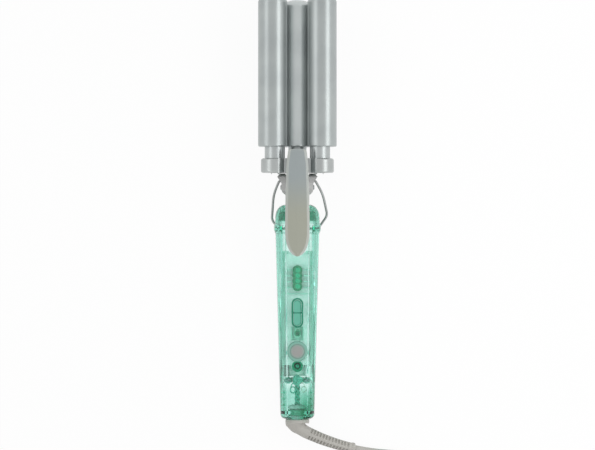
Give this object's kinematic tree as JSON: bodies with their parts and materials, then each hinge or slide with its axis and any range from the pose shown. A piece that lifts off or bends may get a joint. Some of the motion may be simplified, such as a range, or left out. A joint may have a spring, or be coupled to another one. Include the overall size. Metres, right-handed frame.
{
  "type": "hair waver",
  "caption": "Hair waver with a fixed centre barrel, two sprung front barrels on a thumb lever, a slim grip with power button and rocker, a wire stand and a swivel cord.",
  "frame": {"origin": "on the surface that the waver lies on, under the middle of its length and on its middle plane", "axes": "+Y from the grip towards the barrel tips, +Z from the back up to the buttons and the thumb lever, +X to the right seen from the front"},
  "size_m": [0.1586, 0.4826, 0.0512],
  "materials": {
    "grip_shell": "clear mint plastic",
    "inner_mint": "pale mint plastic",
    "deep_green": "deep green plastic",
    "button": "mint plastic",
    "barrel": "satin ceramic coating",
    "neck": "satin steel",
    "yoke_grey": "satin grey plastic",
    "housing_grey": "satin grey plastic",
    "dark": "dark heat-resistant plastic",
    "steel": "steel",
    "wire": "dark steel wire",
    "cast_clamp": "cast aluminium",
    "ceramic": "ceramic",
    "board": "lacquered board",
    "component": "moulded component",
    "relay_brown": "moulded case",
    "lamp": "clear resin",
    "lead_green": "insulated core",
    "lead_white": "glass sleeve",
    "cord": "grey flex",
    "tie": "hook-and-loop band",
    "brass": "plated blades"
  },
  "bodies": {
    "handle": {"front_shell": "grip_shell", "rear_shell": "grip_shell", "neck_housing": "housing_grey", "heat_shield": "dark", "centre_neck": "neck", "centre_barrel": "barrel", "centre_heater_clamp": "cast_clamp", "centre_heater_plates": "ceramic", "thermal_fuse": "steel", "hinge_pin": "steel", "jaw_spring": "steel", "inner_frame": "inner_mint", "circuit_board": "board", "driver_chip": "component", "relay": "relay_brown", "capacitor": "ceramic", "indicator_lamps": "lamp", "key_switches": "component", "light_guide": "deep_green", "rocker_bezel": "deep_green", "key_shroud": "deep_green", "collar_insert": "deep_green", "shell_screws": "steel", "cord_clamp": "lead_white", "clamp_screws": "steel", "handle_leads": "lead_green", "swivel_ring": "inner_mint"},
    "jaw": {"thumb_lever": "yoke_grey", "yoke": "yoke_grey", "left_barrel": "barrel", "right_barrel": "barrel", "left_neck": "neck", "right_neck": "neck", "left_heater_clamp": "cast_clamp", "right_heater_clamp": "cast_clamp", "left_heater_plates": "ceramic", "right_heater_plates": "ceramic", "lever_screws": "steel", "jaw_leads": "lead_white"},
    "stand": {"stand_wire": "wire"},
    "power_key": {"power_button": "button", "button_disc": "button"},
    "rocker": {"rocker_key": "button"},
    "swivel": {"swivel_journal": "housing_grey", "strain_relief": "cord", "cord_tube": "cord", "cord_coil": "cord", "cord_tail": "cord", "coil_tie": "tie", "plug_body": "cord", "plug_pins": "brass"}
  },
  "joints": [
    {"name": "jaw_hinge", "type": "hinge", "parent": "handle", "child": "jaw", "pos_m": [0, 0.0172, 0.022], "axis": [1, 0, 0], "range_deg": [0, 15], "stiffness_Nm_per_rad": 0.6, "springref_deg": -34.38, "deforming": ["jaw_spring"]},
    {"name": "stand_hinge", "type": "hinge", "parent": "handle", "child": "stand", "pos_m": [0, 0.0227, 0.0146], "axis": [1, 0, 0], "range_deg": [0, 70]},
    {"name": "power_press", "type": "slide", "parent": "handle", "child": "power_key", "axis": [0, 0, -1], "range_m": [0, 0.0008], "stiffness_N_per_m": 1500, "springref_m": -0.0004},
    {"name": "rocker_tilt", "type": "hinge", "parent": "handle", "child": "rocker", "pos_m": [0, -0.0901, 0.02748], "axis": [1, 0, 0], "range_deg": [-3, 3], "stiffness_Nm_per_rad": 0.4},
    {"name": "cord_swivel", "type": "hinge", "parent": "handle", "child": "swivel", "pos_m": [0, -0.1814, 0.0146], "axis": [0, 1, 0], "continuous": true}
  ]
}
